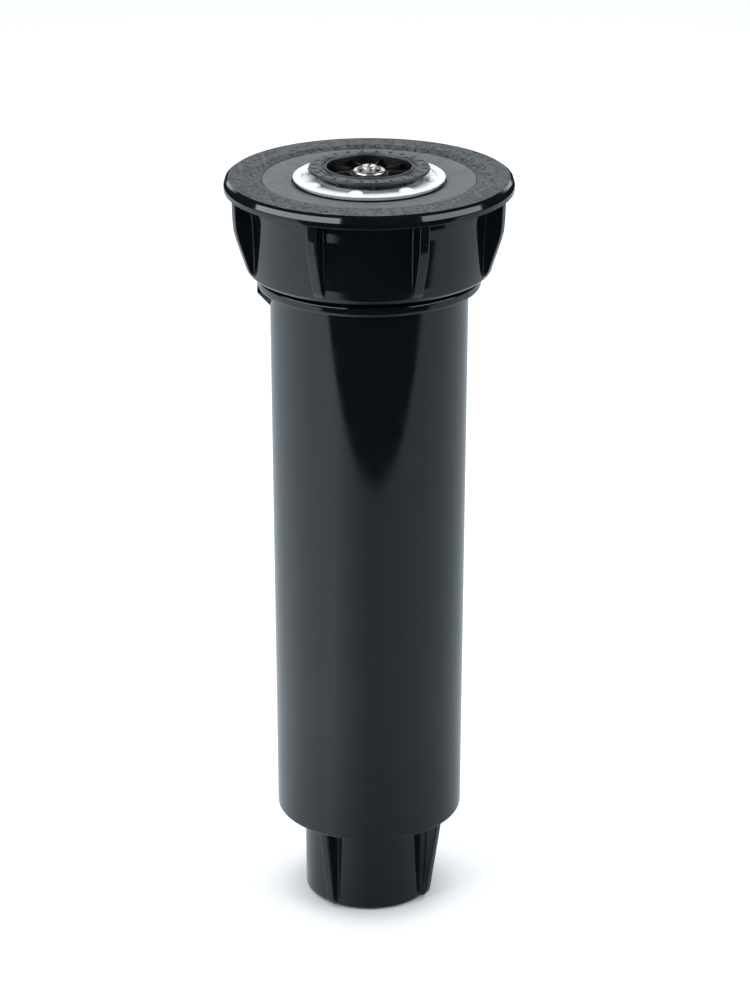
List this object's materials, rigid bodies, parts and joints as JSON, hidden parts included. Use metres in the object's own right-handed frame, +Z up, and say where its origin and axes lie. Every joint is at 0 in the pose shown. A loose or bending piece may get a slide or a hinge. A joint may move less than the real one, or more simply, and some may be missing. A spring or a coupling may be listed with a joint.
{
  "type": "pop-up spray sprinkler",
  "caption": "Pop-up lawn sprinkler: threaded inlet, ribbed screw-on cap, wiper seal, sprung riser and an adjustable-arc spray nozzle with a throw screw.",
  "frame": {"origin": "centre of the inlet's lower face, on the riser's axis", "axes": "+Z up along the riser's axis to the cap, -Y towards the front"},
  "size_m": [0.057, 0.057, 0.1575],
  "materials": {
    "case_plastic": "satin-gloss black moulded plastic",
    "cap_plastic": "satin-gloss black with a stippled top",
    "riser_plastic": "polished black",
    "nozzle_plastic": "matte dark grey",
    "collar_plastic": "satin white",
    "screen_plastic": "matte blue",
    "seal_rubber": "matte dark grey rubber",
    "stainless": "satin stainless steel"
  },
  "bodies": {
    "case": {"body_case": "case_plastic"},
    "seal_pack": {"seal_retainer": "case_plastic", "wiper_seal": "seal_rubber", "retract_spring": "stainless"},
    "cap": {"cap": "cap_plastic"},
    "guide": {"guide_ring": "case_plastic"},
    "riser": {"riser_stem": "riser_plastic", "filter_screen": "screen_plastic", "inlet_plate": "nozzle_plastic", "nozzle_base": "nozzle_plastic", "deflector": "nozzle_plastic", "screw_ferrule": "stainless", "screw_o_ring": "seal_rubber"},
    "collar": {"arc_collar": "collar_plastic", "valve_sleeve": "collar_plastic"},
    "screw": {"radius_screw": "stainless", "screw_clip": "stainless"},
    "throttle": {"throttle_nut": "nozzle_plastic"}
  },
  "joints": [
    {"name": "cap_lift", "type": "slide", "parent": "case", "child": "seal_pack", "axis": [0, 0, 1], "range_m": [0, 0.009]},
    {"name": "cap_turn", "type": "hinge", "parent": "seal_pack", "child": "cap", "pos_m": [0, 0, 0.155], "axis": [0, 0, 1], "range_deg": [0, 810]},
    {"name": "riser_pop_up", "type": "slide", "parent": "seal_pack", "child": "guide", "axis": [0, 0, 1], "range_m": [0, 0.1], "stiffness_N_per_m": 250, "deforming": ["retract_spring"]},
    {"name": "riser_turn", "type": "hinge", "parent": "guide", "child": "riser", "pos_m": [0, 0, 0.0254], "axis": [0, 0, 1], "continuous": true},
    {"name": "arc_collar_turn", "type": "hinge", "parent": "riser", "child": "collar", "pos_m": [0, 0, 0.1546], "axis": [0, 0, 1], "range_deg": [-165, 165]},
    {"name": "radius_screw_turn", "type": "hinge", "parent": "riser", "child": "screw", "pos_m": [0, 0, 0.1568], "axis": [0, 0, 1], "range_deg": [-792, 0]},
    {"name": "throttle_slide", "type": "slide", "parent": "riser", "child": "throttle", "axis": [0, 0, 1], "range_m": [0, 0.0011]}
  ],
  "couplings": [
    {"joint": "cap_lift", "follows": "cap_turn", "m_per_rad": 0.00063662},
    {"joint": "radius_screw_turn", "follows": "throttle_slide", "rad_per_m": -12566}
  ]
}
